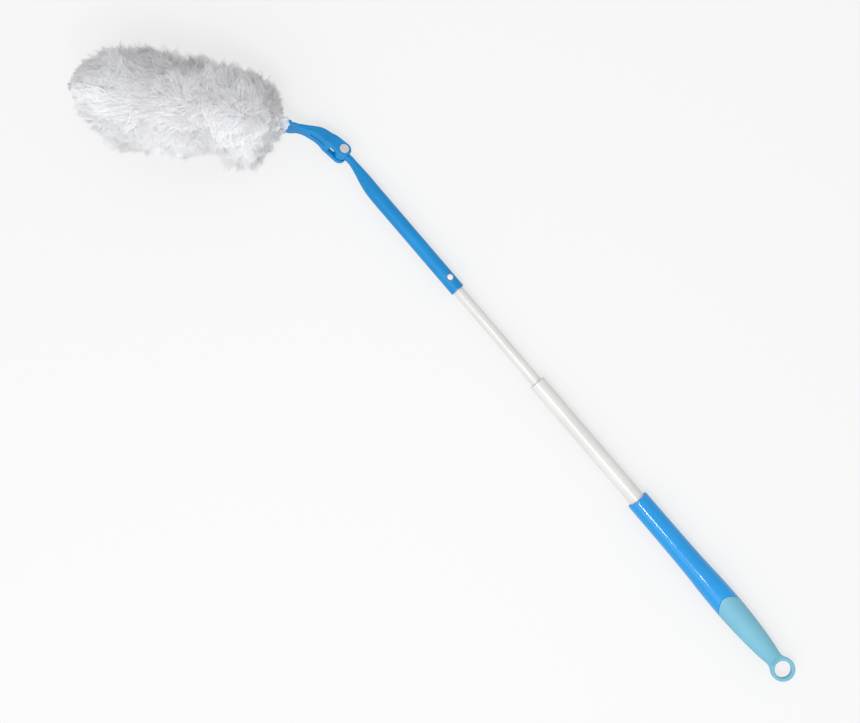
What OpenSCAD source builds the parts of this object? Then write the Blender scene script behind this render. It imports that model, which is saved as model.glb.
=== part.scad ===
// Extendable duster with a tilting head: a three-section twist-lock pole, a two-colour handle with
// a hanging ring, a click-stop tilt joint and a slide-on refill of soft fibres.
//
// The duster lies on its side on a flat surface. The origin is the centre of the hanging ring's hole,
// +Z is that hole's axis and points up, and +X runs along the pole towards the head.

/* [Handle] */
// Distance from the ring's centre to the handle's mouth
handle_length = 212; // [200:1:230]
// Outer radius of the handle at its mouth
mouth_r = 10.9; // [10.6:0.1:11.6]
// Outer radius of the handle at the thickest part of the grip
grip_r = 12.95; // [12.6:0.05:14]
// Radius of the waist between the grip and the ring
waist_r = 7.85; // [7:0.05:8.2]
// Thickness of the soft grip over the handle's tail
grip_skin = 1.2; // [1:0.1:1.3]
// How far the top of the grip's front edge lies from the ring's centre
grip_point_x = 90.2; // [86:0.1:92]

/* [Hanging ring] */
// Radius of the hole
ring_hole_r = 7.95; // [7:0.05:8.2]
// Outer radius of the ring
ring_outer_r = 11.8; // [11.4:0.1:12.4]
// Thickness of the ring
ring_thick = 6; // [5:0.5:7]

/* [Pole] */
// Outer radius of the thick tube
thick_r = 8.1; // [8:0.05:8.3]
// Outer radius of the thin tube
thin_r = 5.45; // [5.2:0.05:5.5]
// Length of thick tube that shows between the handle and its own mouth
thick_shows = 146; // [120:1:150]
// Length of thin tube that shows between the thick tube and the neck
thin_shows = 115.4; // [100:0.2:120]
// Wall of both tubes
tube_wall = 0.8; // [0.7:0.05:0.9]

/* [Neck] */
// Distance from the neck's rim to the tilt pin
neck_length = 171; // [160:1:180]
// Outer radius of the neck
neck_r = 7.1; // [6.9:0.05:7.4]
// Radius of the slim stem between the neck and the tilt joint
stem_r = 3.75; // [3.4:0.05:3.9]
// Distance from the neck's rim to the snap button
button_from_rim = 14; // [12:0.5:20]
// Radius of the snap button
button_r = 3.1; // [2.8:0.05:3.2]
// Roll of the snap button about the pole
button_roll = 25; // [0:1:90]

/* [Tilt joint] */
// Roll of the tilt joint about the pole, as the duster lies
tilt_roll = 32; // [28:1:36]
// Radius of the tongue's round end
hub_r = 6.2; // [6:0.05:6.3]
// Thickness of the tongue
hub_thick = 7.4; // [7:0.1:7.4]
// Radius of the tilt pin
pin_r = 2.6; // [2.2:0.05:2.8]
// Radius of the pin's ringed head
pin_head_r = 4.75; // [4.5:0.05:4.8]
// Radius of the arm's round end
boss_r = 7.15; // [7.1:0.05:7.4]
// Width of the arm's forked end
boss_width = 17.1; // [16.6:0.1:18]

/* [Head] */
// Angle of the prongs off the pole
head_angle = 46.5; // [44:0.5:48]
// Length of the prongs
prong_length = 150; // [120:1:165]
// Distance between the middles of the two prongs
prong_pitch = 17; // [16:0.5:20]
// Width of a prong
prong_width = 6; // [5:0.5:7]
// Thickness of a prong
prong_thick = 2.2; // [2:0.1:2.4]
// Length of the fluffy refill
fluff_length = 203; // [190:1:210]
// Radius of the fluffy refill
fluff_r = 46; // [42:0.5:48]

/* [Hidden] */

eps = 0.01;
fit = 0.05;
hull_fn = 32;
round_fn = 96;

// Colours
deep_blue = [0.05, 0.50, 0.87];
light_blue = [0.45, 0.76, 0.87];
tube_white = [0.93, 0.93, 0.90];
nylon_white = [0.97, 0.97, 0.95];
spring_steel = [0.60, 0.61, 0.63];
clear_film = [0.85, 0.90, 0.95, 0.5];
fibre_white = [0.96, 0.97, 1.00];

// Stations along the pole
bore_floor_x = 38;
handle_bore_r = 8.8;
thick_mouth_x = handle_length + thick_shows;
thick_end_x = handle_length - 27;
thick_bore_r = thick_r - tube_wall;
thin_end_x = thick_mouth_x - 32;
thin_bore_r = thin_r - tube_wall;
neck_rim_x = thick_mouth_x + thin_shows;
thin_top_x = neck_rim_x + 47;
button_x = neck_rim_x + button_from_rim;
pin_x = neck_rim_x + neck_length;
rim_notch_r = 0.8;
grip_peak_x = 78;
grip_sweep = 10.7;
table_z = -grip_r;

// Handle outline: distance from the ring's centre, and radius
handle_outline = [
    [12.6, waist_r], [21, 9.2], [33, 10.6], [50, 11.9], [grip_peak_x, grip_r], [104, 12.6],
    [125, 11.7], [148, 11.25], [180, 11], [handle_length, mouth_r]
];
outline_steps = 6;

// Lock parts behind the end of a tube
plug_depth = 10;
flange = 1.5;
expander_length = 11;
expander_gap = 0.3;
stop_thick = 2;
spindle_r = 2.4;

// Tilt joint
pin_drop = 1.1;
slot_half = hub_thick / 2 + 0.3;
slot_r = hub_r + 0.45;
head_sink = 1.2;
head_thick = 1.5;
pawl_angle = 14;
notch_step = 45;
notch_depth = 0.9;
pawl_width = 4.6;
pawl_height = 6;
pawl_length = 8;
pawl_tip_r = hub_r + 0.2;
saddle_r = pawl_tip_r + 0.75;
channel_end = 27;

// Fork, where the arm meets the prongs: along the pole from the pin, and across it
fork_along = 49.4;
fork_across = 27.9;
film_wall = 0.4;
film_gap = 0.35;
backing_thick = 1;
neck_dimple = 12;

// Centre line of the arm in the tilt plane: along, across, half thickness
arm_stations = [
    [0, 0, boss_r], [13, 2.7, 6.5], [24, 5.5, 5.5], [31.6, 9.9, 4.1],
    [38.3, 15.7, 2.6], [44.3, 22.1, 1.6], [fork_along, fork_across, prong_thick / 2]
];
// Half width of the arm at places along the pole from the pin
arm_widths = [
    [-boss_r, boss_width / 2], [13, boss_width / 2], [19, 7.1], [29, 6.8], [37, 5.7],
    [45, 7], [fork_along + 3, 9.2]
];
arm_steps = 6;

// Sections of the neck's taper: distance from the pin, radius, shift away from the side the head tilts to
neck_taper = [
    [2, stem_r - 0.3, 2.2], [9, stem_r, 3.3], [15, stem_r + 0.05, 3.4], [24, 4.8, 2.6], [34, 6.1, 1.4],
    [44, 6.85, 0.35], [54, neck_r - 0.04, 0]
];
taper_sides = 40;
taper_steps = 3;

// A point of the smooth curve through the stations a, b, c, d, between b and c
function curve_point(a, b, c, d, t) =
    0.5 * (2 * b + (c - a) * t + (2 * a - 5 * b + 4 * c - d) * t * t + (3 * b - a - 3 * c + d) * t * t * t);

// The whole smooth curve through a list of stations
function smooth(list, steps) = concat(
    [
        for (i = [0 : len(list) - 2], k = [0 : steps - 1])
            curve_point(
                list[max(i - 1, 0)], list[i], list[i + 1], list[min(i + 2, len(list) - 1)], k / steps)
    ],
    [list[len(list) - 1]]
);

// Radius of the refill's outline, from -1 at its near end to 1 at its tip
function fluff_radius(u) = fluff_r * pow(max(1 - pow(abs(u), 3), 0), 0.5);

// Front edge of the grip, seen from above: an arch
function grip_edge(y) = grip_point_x - grip_sweep * pow(y / grip_r, 2);

// Turns a shape built about +Z so that it lies along the pole
module along_pole() {
    rotate([0, 90, 0]) children();
}

// A tube along the pole
module pole_tube(from_x, to_x, outer_r, inner_r) {
    translate([from_x, 0, 0]) along_pole() difference() {
        cylinder(h = to_x - from_x, r = outer_r, $fn = round_fn);
        translate([0, 0, -1]) cylinder(h = to_x - from_x + 2, r = inner_r, $fn = round_fn);
    }
}

// A rod along the pole
module pole_rod(from_x, to_x, r) {
    translate([from_x, 0, 0]) along_pole() cylinder(h = to_x - from_x, r = r, $fn = round_fn);
}

// The handle's outline as a solid of revolution, shrunk by inset, between two stations
module handle_body(inset, from_x, to_x) {
    curve = smooth(handle_outline, outline_steps);
    points = [for (p = curve) if (p[0] >= from_x && p[0] <= to_x) [p[1] - inset, p[0]]];
    along_pole() rotate_extrude($fn = round_fn)
        polygon(concat([[0, points[0][1]]], points, [[0, points[len(points) - 1][1]]]));
}

// Everything on the ring's side of the grip's front edge
module grip_side() {
    reach = 16;
    edge = [for (y = [-reach : 1 : reach]) [grip_edge(y), y]];
    translate([0, 0, -20]) linear_extrude(height = 40)
        polygon(concat([[-20, -reach]], edge, [[-20, reach]]));
}

// The hanging ring: flat walls with rounded corners
module ring_body() {
    corner = 1.4;
    half = ring_thick / 2;
    rotate_extrude($fn = round_fn)
        translate([(ring_hole_r + ring_outer_r) / 2, 0]) {
            square([ring_outer_r - ring_hole_r, ring_thick - 2 * corner], center = true);
            square([ring_outer_r - ring_hole_r - 2 * corner, ring_thick], center = true);
            for (side = [-1, 1], top = [-1, 1])
                translate([side * ((ring_outer_r - ring_hole_r) / 2 - corner), top * (half - corner)])
                    circle(r = corner, $fn = hull_fn);
        }
}

module hanging_grip() {
    color(light_blue) union() {
        ring_body();
        difference() {
            hull() {
                translate([15.5, 0, 0]) along_pole() cylinder(h = 0.5, r = 8.15, $fn = 2 * hull_fn);
                translate([5, 0, 0]) cube([1, 2 * ring_hole_r + 1, ring_thick - 1.6], center = true);
                translate([10, 0, 0]) cube([1, 2 * waist_r - 1, ring_thick], center = true);
            }
            cylinder(h = 30, r = (ring_hole_r + ring_outer_r) / 2, center = true, $fn = round_fn);
        }
        difference() {
            intersection() {
                handle_body(0, 13, 100);
                grip_side();
            }
            handle_body(grip_skin, 24, 100);
        }
    }
}

module handle_tube() {
    lip = 0.8;
    color(deep_blue) difference() {
        union() {
            difference() {
                handle_body(0, 60, handle_length);
                grip_side();
            }
            handle_body(grip_skin, 24, 120);
        }
        pole_rod(bore_floor_x, handle_length + 1, handle_bore_r);
        translate([handle_length - lip, 0, 0]) along_pole()
            cylinder(h = lip + eps, r1 = handle_bore_r, r2 = handle_bore_r + lip, $fn = round_fn);
    }
}

module handle_bush() {
    color(nylon_white) pole_tube(thick_end_x + flange, handle_length - 2.5, handle_bore_r, thick_r + fit);
}

module outer_tube() {
    color(tube_white) pole_tube(thick_end_x, thick_mouth_x, thick_r, thick_bore_r);
}

module outer_tube_bush() {
    color(nylon_white) pole_tube(thick_mouth_x - 18, thick_mouth_x - 0.4, thick_bore_r, thin_r + fit);
}

// Plug in the lower end of a tube, with the spindle that carries the expander
module lock_plug(end_x, tube_r, bore_r) {
    pole_rod(end_x, end_x + plug_depth, bore_r);
    pole_rod(end_x - flange, end_x, tube_r);
    pole_rod(end_x - flange - expander_length - stop_thick, end_x - flange, spindle_r);
}

// Split sleeve on the spindle: three slits let it grow against the bore it runs in
module lock_expander(end_x, bore_r) {
    slit = 1;
    start_x = end_x - flange - expander_length + expander_gap;
    difference() {
        pole_tube(start_x, end_x - flange - expander_gap, bore_r - expander_gap, spindle_r + fit);
        for (turn = [0 : 120 : 240])
            translate([start_x - 1, 0, 0]) rotate([turn, 0, 0])
                translate([0, -slit / 2, spindle_r - 1]) cube([expander_length - 2, slit, bore_r]);
    }
}

// Cap that keeps the expander on its spindle
module lock_stop(end_x, cap_r) {
    stop_x = end_x - flange - expander_length;
    pole_tube(stop_x - stop_thick, stop_x, cap_r, spindle_r);
}

module outer_lock_plug() {
    color(deep_blue) lock_plug(thick_end_x, thick_r - fit, thick_bore_r);
}

module outer_lock_expander() {
    color(nylon_white) lock_expander(thick_end_x, handle_bore_r);
}

module outer_lock_stop() {
    color(deep_blue) lock_stop(thick_end_x, thick_r - 1.5);
}

module inner_tube() {
    color(tube_white) difference() {
        pole_tube(thin_end_x, thin_top_x, thin_r, thin_bore_r);
        translate([button_x, 0, 0]) rotate([button_roll, 0, 0])
            cylinder(h = 10, r = button_r + 0.1, $fn = round_fn);
    }
}

module inner_lock_plug() {
    color(deep_blue) lock_plug(thin_end_x, thin_r, thin_bore_r);
}

module inner_lock_expander() {
    color(nylon_white) lock_expander(thin_end_x, thick_bore_r);
}

module inner_lock_stop() {
    color(deep_blue) lock_stop(thin_end_x, thin_r - 0.8);
}

// The button's own frame: +Z is the way it stands out of the neck
module button_frame() {
    translate([button_x, 0, 0]) rotate([button_roll, 0, 0]) children();
}

module snap_button() {
    top = neck_r + 1;
    foot = 2.4;
    dome = 1.6;
    dome_r = (button_r * button_r + dome * dome) / (2 * dome);
    color(nylon_white) button_frame() {
        translate([0, 0, foot + 0.4]) cylinder(h = top - dome - foot - 0.4, r = button_r, $fn = round_fn);
        intersection() {
            translate([0, 0, top - dome_r]) sphere(r = dome_r, $fn = round_fn);
            translate([0, 0, top - dome - 0.2]) cylinder(h = 5, r = button_r, $fn = round_fn);
        }
        translate([-4.5, -2.7, foot]) cube([9, 5.4, 0.8]);
    }
}

// V-shaped leaf: the upper leg carries the button, the lower leg lies on the tube's wall
module snap_spring() {
    leaf = 0.3;
    width = 4;
    top = 2.35;
    low = -4.05;
    bend_x = 28;
    color(spring_steel) button_frame()
        translate([0, width / 2, 0]) rotate([90, 0, 0]) linear_extrude(height = width)
            polygon([
                [-5, top], [5, top], [bend_x, -1.6], [bend_x + 1.2, -2.3], [bend_x, -3], [-6, low],
                [-6, low + leaf], [bend_x, -3 + leaf], [bend_x + 0.6, -2.3], [bend_x, -1.6 - leaf],
                [5, top - leaf], [-5, top - leaf]
            ]);
}

// The tilt joint's frame: X along the pole, Y in the tilt plane, Z along the pin
module tilt_frame() {
    translate([pin_x, 0, 0]) rotate([tilt_roll, 0, 0]) translate([0, -pin_drop, 0]) children();
}

// The neck's taper from the slim stem to the full tube, as one skin over its sections
module neck_skin() {
    rings = smooth(neck_taper, taper_steps);
    last = len(rings) - 1;
    points = [
        for (ring = rings, k = [0 : taper_sides - 1]) let (turn = 360 * k / taper_sides)
            [-ring[0], pin_drop - ring[2] + ring[1] * cos(turn), ring[1] * sin(turn)]
    ];
    function at(i, k) = i * taper_sides + k % taper_sides;
    sides = [
        for (i = [0 : last - 1], k = [0 : taper_sides - 1], half = [0, 1])
            half == 0 ? [at(i, k), at(i + 1, k + 1), at(i + 1, k)] : [at(i, k), at(i, k + 1), at(i + 1, k + 1)]
    ];
    polyhedron(points, concat(
        [[for (k = [taper_sides - 1 : -1 : 0]) at(0, k)]], sides, [[for (k = [0 : taper_sides - 1]) at(last, k)]]));
}

module neck_tube() {
    last = len(neck_taper) - 1;
    color(deep_blue) difference() {
        union() {
            pole_rod(neck_rim_x, pin_x - neck_taper[last][0] + 2, neck_r);
            tilt_frame() {
                neck_skin();
                cylinder(h = hub_thick, r = hub_r, center = true, $fn = round_fn);
            }
        }
        pole_rod(neck_rim_x - 1, thin_top_x + 3, thin_r + fit);
        pole_rod(thin_top_x, pin_x - 60, thin_bore_r);
        translate([neck_rim_x, 0, 0]) cylinder(h = 20, r = rim_notch_r, $fn = hull_fn);
        button_frame() cylinder(h = 10, r = button_r + 0.5, $fn = round_fn);
        tilt_frame() {
            cylinder(h = 20, r = pin_r + fit, center = true, $fn = round_fn);
            for (stop = [-1 : 1])
                rotate([0, 0, pawl_angle + stop * notch_step]) translate([hub_r, 0, 0])
                    rotate([0, 0, 45]) cube([notch_depth * 1.5, notch_depth * 1.5, 20], center = true);
        }
    }
}

// Ringed disc of the pin's head and of its cap
module ringed_disc(thick) {
    difference() {
        cylinder(h = thick, r = pin_head_r, $fn = round_fn);
        translate([0, 0, thick - 0.35]) difference() {
            cylinder(h = 1, r = pin_head_r - 1.1, $fn = round_fn);
            translate([0, 0, -1]) cylinder(h = 3, r = pin_head_r - 2.4, $fn = round_fn);
        }
        translate([0, 0, thick - 0.5]) cylinder(h = 1, r = 0.9, $fn = round_fn);
    }
}

module hinge_pin() {
    color(nylon_white) tilt_frame() {
        translate([0, 0, 1 - boss_width / 2 + head_sink])
            cylinder(h = boss_width - 2 * head_sink - 1 + eps, r = pin_r, $fn = round_fn);
        translate([0, 0, boss_width / 2 - head_sink]) ringed_disc(head_thick);
    }
}

module hinge_pin_cap() {
    color(nylon_white) tilt_frame() mirror([0, 0, 1])
        translate([0, 0, boss_width / 2 - head_sink]) {
            ringed_disc(head_thick);
            translate([0, 0, -1]) cylinder(h = 1.1, r = pin_r, $fn = round_fn);
        }
}

// The pawl's frame: X runs from the pin along the channel in the arm
module pawl_frame() {
    tilt_frame() rotate([0, 0, pawl_angle]) children();
}

module tilt_pawl() {
    color(nylon_white) pawl_frame() {
        difference() {
            translate([4, -pawl_height / 2, -pawl_width / 2])
                cube([saddle_r + pawl_length - 4, pawl_height, pawl_width]);
            cylinder(h = 20, r = saddle_r, center = true, $fn = round_fn);
            translate([saddle_r + pawl_length - 3, 0, 0]) along_pole()
                cylinder(h = 10, r = 1.9, $fn = round_fn);
        }
        translate([pawl_tip_r, 0, 0]) linear_extrude(height = pawl_width, center = true)
            polygon([[0, 0], [1.2, 0.75], [1.2, -0.75]]);
    }
}

// Coil spring between the pawl and the end of its channel, as a closed stack of turns
module pawl_spring() {
    wire_r = 0.25;
    coil_r = 1.45;
    turns = 9;
    start = saddle_r + pawl_length - 3 + wire_r;
    pitch = (channel_end - start - wire_r) / (turns - 1);
    color(spring_steel) pawl_frame() for (i = [0 : turns - 1])
        translate([start + i * pitch, 0, 0]) along_pole()
            rotate_extrude($fn = round_fn) translate([coil_r, 0]) circle(r = wire_r, $fn = 16);
}

// Side view of the arm: the band around its centre line, round at the pin
module arm_side() {
    line = smooth(arm_stations, arm_steps);
    last = len(line) - 1;
    function heading(i) = let (step = line[min(i + 1, last)] - line[max(i - 1, 0)]) atan2(step[1], step[0]);
    function edge(i, side) = [
        line[i][0] - side * line[i][2] * sin(heading(i)),
        line[i][1] + side * line[i][2] * cos(heading(i))
    ];
    circle(r = boss_r, $fn = round_fn);
    polygon(concat([for (i = [0 : last]) edge(i, 1)], [for (i = [last : -1 : 0]) edge(i, -1)]));
}

// Plan view of the arm: its width along the pole
module arm_plan() {
    outline = smooth(arm_widths, arm_steps);
    last = len(outline) - 1;
    polygon(concat(outline, [for (i = [last : -1 : 0]) [outline[i][0], -outline[i][1]]]));
}

// The fork's own frame: X along the prongs, Y across the refill's plane, Z along the tilt pin
module fork_frame() {
    tilt_frame() translate([fork_along, fork_across, 0]) rotate([0, 0, head_angle]) children();
}

// Shoulder and prongs, seen flat
module fork_outline() {
    translate([-4, 0]) circle(r = 9, $fn = round_fn);
    translate([-1, -(prong_pitch + prong_width) / 2]) square([5, prong_pitch + prong_width]);
    for (side = [-1, 1]) translate([0, side * prong_pitch / 2]) {
        translate([0, -prong_width / 2]) square([prong_length - prong_width / 2, prong_width]);
        translate([prong_length - prong_width / 2, 0]) circle(d = prong_width, $fn = round_fn);
    }
}

module head_arm() {
    slit_from = 15;
    slit_to = 31;
    slit_width = 1.3;
    color(deep_blue) difference() {
        union() {
            tilt_frame() intersection() {
                linear_extrude(height = boss_width, center = true) arm_side();
                translate([0, 60, 0]) rotate([90, 0, 0]) linear_extrude(height = 120) arm_plan();
            }
            fork_frame() rotate([90, 0, 0]) linear_extrude(height = prong_thick, center = true)
                fork_outline();
        }
        tilt_frame() {
            cylinder(h = 2 * slot_half, r = slot_r, center = true, $fn = round_fn);
            translate([-20, -20, -slot_half]) cube([20, 40, 2 * slot_half]);
            translate([-1, -20, -slot_half]) cube([4.5, 20, 2 * slot_half]);
            translate([-1, 3.5, -slot_half]) cube([11, 10, 2 * slot_half]);
            cylinder(h = 40, r = pin_r + fit / 2, center = true, $fn = round_fn);
            for (side = [-1, 1]) translate([0, 0, side * (boss_width / 2 - head_sink / 2 + 1)])
                cylinder(h = head_sink + 2, r = pin_head_r + 0.3, center = true, $fn = round_fn);
            translate([slit_from, 4, -slit_width / 2]) cube([slit_to - slit_from, 20, slit_width]);
        }
        pawl_frame() translate([0, -pawl_height / 2 - 0.2, -pawl_width / 2 - 0.2])
            cube([channel_end, pawl_height + 0.4, pawl_width + 0.4]);
    }
}

// Clear sleeves around the two prongs, joined by a web
module pocket_film() {
    start = 4;
    inner_w = prong_width + 2 * film_gap;
    inner_t = prong_thick + 2 * film_gap;
    sleeve_length = prong_length - start + 3;
    color(clear_film) fork_frame() for (side = [-1, 1])
        translate([start + 0.4, 0, side * prong_pitch / 2]) difference() {
            translate([0, -inner_t / 2 - film_wall, -inner_w / 2 - film_wall])
                cube([sleeve_length, inner_t + 2 * film_wall, inner_w + 2 * film_wall]);
            translate([-1, -inner_t / 2, -inner_w / 2])
                cube([sleeve_length + 0.6, inner_t, inner_w]);
        }
}

// Non-woven strip between the two sleeves, which the fibres are sealed to
module refill_backing() {
    start = 14;
    half_gap = prong_pitch / 2 - prong_width / 2 - film_gap - film_wall;
    color(fibre_white) fork_frame()
        translate([start, -backing_thick / 2, -half_gap])
            cube([prong_length + 3 - start, backing_thick, 2 * half_gap]);
}

// The refill's whole outline, resting on the surface that the duster lies on
module fluff_solid() {
    steps = 40;
    rise = [for (i = [0 : steps]) -cos(180 * i / steps)];
    difference() {
        fork_frame() translate([2, 0, 0]) along_pole() rotate_extrude($fn = round_fn)
            polygon(concat([for (u = rise) [fluff_radius(u), (u + 1) / 2 * fluff_length]], [[0, 0]]));
        translate([pin_x - 100, -200, table_z - 200]) cube([500, 500, 200]);
    }
}

// Room inside the refill for the fork's shoulder, the sleeves and the backing
module fluff_core() {
    core_w = prong_pitch + prong_width + 2 * (film_gap + film_wall);
    core_t = prong_thick + 2 * (film_gap + film_wall);
    fork_frame() {
        translate([-20, -core_t / 2, -core_w / 2]) cube([20 + prong_length + 4, core_t, core_w]);
        translate([-20, -core_t / 2 - 1.2, -core_w / 2 - 1.2]) cube([20 + neck_dimple, core_t + 2.4, core_w + 2.4]);
    }
}

// One half of the fibres, on the given side of the prongs' plane
module fibre_half(side) {
    color(fibre_white) difference() {
        intersection() {
            fluff_solid();
            fork_frame() translate([-50, side > 0 ? 0 : -200, -100]) cube([400, 200, 200]);
        }
        fluff_core();
    }
}

module upper_fibres() {
    fibre_half(1);
}

module lower_fibres() {
    fibre_half(-1);
}

hanging_grip();
handle_tube();
handle_bush();
outer_tube();
outer_tube_bush();
outer_lock_plug();
outer_lock_expander();
outer_lock_stop();
inner_tube();
inner_lock_plug();
inner_lock_expander();
inner_lock_stop();
snap_button();
snap_spring();
neck_tube();
hinge_pin();
hinge_pin_cap();
tilt_pawl();
pawl_spring();
head_arm();
pocket_film();
refill_backing();
upper_fibres();
lower_fibres();
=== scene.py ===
"""Looks for the extendable duster: detailed meshes, materials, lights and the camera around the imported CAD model.

Lengths in the shape code are millimetres; every mesh is turned into metres in the row frame when it is made.
"""

import math

import bmesh
import bpy
import numpy as np
from mathutils import Matrix, Vector, noise


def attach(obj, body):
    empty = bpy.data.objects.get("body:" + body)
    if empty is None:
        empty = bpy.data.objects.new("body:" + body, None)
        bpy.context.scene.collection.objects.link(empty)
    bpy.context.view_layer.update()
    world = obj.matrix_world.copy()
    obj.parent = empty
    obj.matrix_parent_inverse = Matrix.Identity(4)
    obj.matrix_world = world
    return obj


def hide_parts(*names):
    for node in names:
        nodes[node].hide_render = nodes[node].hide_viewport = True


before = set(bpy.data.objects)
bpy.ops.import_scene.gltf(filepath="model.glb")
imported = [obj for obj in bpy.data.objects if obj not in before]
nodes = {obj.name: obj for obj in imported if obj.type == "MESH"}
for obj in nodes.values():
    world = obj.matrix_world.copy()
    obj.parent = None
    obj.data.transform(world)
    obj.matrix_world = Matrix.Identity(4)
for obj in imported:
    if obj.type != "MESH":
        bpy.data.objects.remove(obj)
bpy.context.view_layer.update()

MM = 0.001
TAU = 2 * math.pi
SEED = 41
TUFTS, FIBRES_PER_TUFT = ((2000, 37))
LOCKS_PER_TUFT = 4
FIBRE_RADIUS = (0.00014, 0.00025)
MESHES_PER_HALF = 3
CORE_SHARE = 0.75

# ---------------------------------------------------------------- places, as in part.scad (mm)
HANDLE_END = 212.0
THICK_MOUTH = 358.0
THICK_END = 185.0
NECK_RIM = 473.4
THIN_TOP = 520.4
THIN_END = 326.0
BUTTON_X = 487.4
BUTTON_ROLL = math.radians(25)
PIN_X = 644.4
PIN_DROP = 1.1
TILT_ROLL = math.radians(32)
HEAD_ANGLE = math.radians(46.5)
FORK_ALONG, FORK_ACROSS = 49.4, 27.9
TABLE_Z = -12.95
THICK_R, THIN_R, WALL = 8.1, 5.45, 0.8
HANDLE_BORE_R = 8.8
GRIP_SKIN = 1.2
GRIP_POINT = 90.2
GRIP_SWEEP = 10.7
GRIP_R = 12.95
NECK_R = 7.1
HUB_R, HUB_THICK = 6.2, 7.4
PIN_R, PIN_HEAD_R = 2.6, 4.75
BOSS_R, BOSS_WIDTH = 7.15, 17.1
HEAD_SINK = 1.2
PAWL_ANGLE = math.radians(14)
PRONG_LENGTH, PRONG_PITCH, PRONG_WIDTH, PRONG_THICK = 150.0, 17.0, 6.0, 2.2
SNAP_R = 3.1
RING_HOLE_R, RING_OUTER_R, RING_THICK = 7.95, 11.8, 6.0
HANDLE_OUTLINE = [
    (12.6, 7.85), (21, 9.2), (33, 10.6), (50, 11.9), (78, 12.95), (104, 12.6),
    (125, 11.7), (148, 11.25), (180, 11), (212, 10.9),
]
ARM_LINE = [
    (0, 0, 7.15), (13, 2.7, 6.5), (24, 5.5, 5.5), (31.6, 9.9, 4.1),
    (38.3, 15.7, 2.6), (44.3, 22.1, 1.6), (49.4, 27.9, 1.1),
]
ARM_WIDTHS = [(-7.15, 8.55), (13, 8.55), (19, 7.1), (29, 6.8), (37, 5.7), (45, 7), (52.4, 9.2)]
NECK_TAPER = [
    (2, 3.45, 2.2), (9, 3.75, 3.3), (15, 3.8, 3.4), (24, 4.8, 2.6), (34, 6.1, 1.4),
    (44, 6.85, 0.35), (54, 7.06, 0),
]

METRES = Matrix.Scale(MM, 4)
TILT = Matrix.Translation((PIN_X, 0, 0)) @ Matrix.Rotation(TILT_ROLL, 4, "X") @ Matrix.Translation((0, -PIN_DROP, 0))
FORK = TILT @ Matrix.Translation((FORK_ALONG, FORK_ACROSS, 0)) @ Matrix.Rotation(HEAD_ANGLE, 4, "Z")
BUTTON = Matrix.Translation((BUTTON_X, 0, 0)) @ Matrix.Rotation(BUTTON_ROLL, 4, "X")
PAWL = TILT @ Matrix.Rotation(PAWL_ANGLE, 4, "Z")


# ---------------------------------------------------------------- curves and meshes
def smooth(stations, steps):
    """Catmull-Rom curve through the stations, the same as the CAD's."""
    pts = np.array(stations, float)
    out = []
    for i in range(len(pts) - 1):
        a, b, c, d = pts[max(i - 1, 0)], pts[i], pts[i + 1], pts[min(i + 2, len(pts) - 1)]
        for k in range(steps):
            t = k / steps
            out.append(
                0.5 * (2 * b + (c - a) * t + (2 * a - 5 * b + 4 * c - d) * t * t + (3 * b - a - 3 * c + d) * t**3)
            )
    out.append(pts[-1])
    return np.array(out)


OUTLINE = smooth(HANDLE_OUTLINE, 12)


def handle_r(x):
    return float(np.interp(x, OUTLINE[:, 0], OUTLINE[:, 1]))


def grip_edge(y):
    return GRIP_POINT - GRIP_SWEEP * (y / GRIP_R) ** 2


def edge_at(phi):
    """Where the grip's front edge crosses the line along the handle at the angle phi."""
    x = GRIP_POINT
    for _ in range(8):
        x = grip_edge(handle_r(x) * math.cos(phi))
    return x


def rounded(points, radius, steps=4):
    """A closed outline with its corners rounded; radius is one number or one for each corner."""
    out = []
    n = len(points)
    for i in range(n):
        p = Vector(points[i])
        r = radius[i] if isinstance(radius, (list, tuple)) else radius
        a, b = Vector(points[i - 1]) - p, Vector(points[(i + 1) % n]) - p
        if r <= 0:
            out.append(tuple(p))
            continue
        a_n, b_n = a.normalized(), b.normalized()
        turn = a_n.angle(b_n) / 2
        cut = min(r / math.tan(turn), 0.45 * a.length, 0.45 * b.length)
        start, end = p + a_n * cut, p + b_n * cut
        for k in range(steps + 1):
            t = k / steps
            out.append(tuple(start * (1 - t) ** 2 + p * 2 * t * (1 - t) + end * t * t))
    return out


def new_object(name, verts, faces, matrix):
    mesh = bpy.data.meshes.new(name)
    mesh.from_pydata([tuple(v) for v in verts], [], faces)
    mesh.validate()
    mesh.transform(matrix)
    obj = bpy.data.objects.new(name, mesh)
    bpy.context.scene.collection.objects.link(obj)
    return obj


def face_outward(obj):
    bm = bmesh.new()
    bm.from_mesh(obj.data)
    bmesh.ops.remove_doubles(bm, verts=bm.verts, dist=1e-7)
    bmesh.ops.recalc_face_normals(bm, faces=bm.faces)
    bm.to_mesh(obj.data)
    bm.free()


def shade(obj, angle=35):
    obj.data.shade_smooth()
    obj.data.set_sharp_from_angle(angle=math.radians(angle))
    return obj


def loop_turned(name, outline, matrix, n=128):
    """A closed outline (along, radius) turned about X. outline may be a function of the angle."""
    verts, faces = [], []
    rows = []
    for k in range(n):
        phi = TAU * k / n
        pts = outline(phi) if callable(outline) else outline
        rows.append(len(pts))
        verts += [(x, r * math.cos(phi), r * math.sin(phi)) for x, r in pts]
    m = rows[0]
    for k in range(n):
        for i in range(m):
            a, b = k * m, ((k + 1) % n) * m
            faces.append((a + i, a + (i + 1) % m, b + (i + 1) % m, b + i))
    obj = new_object(name, verts, faces, matrix)
    face_outward(obj)
    return obj


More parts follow.
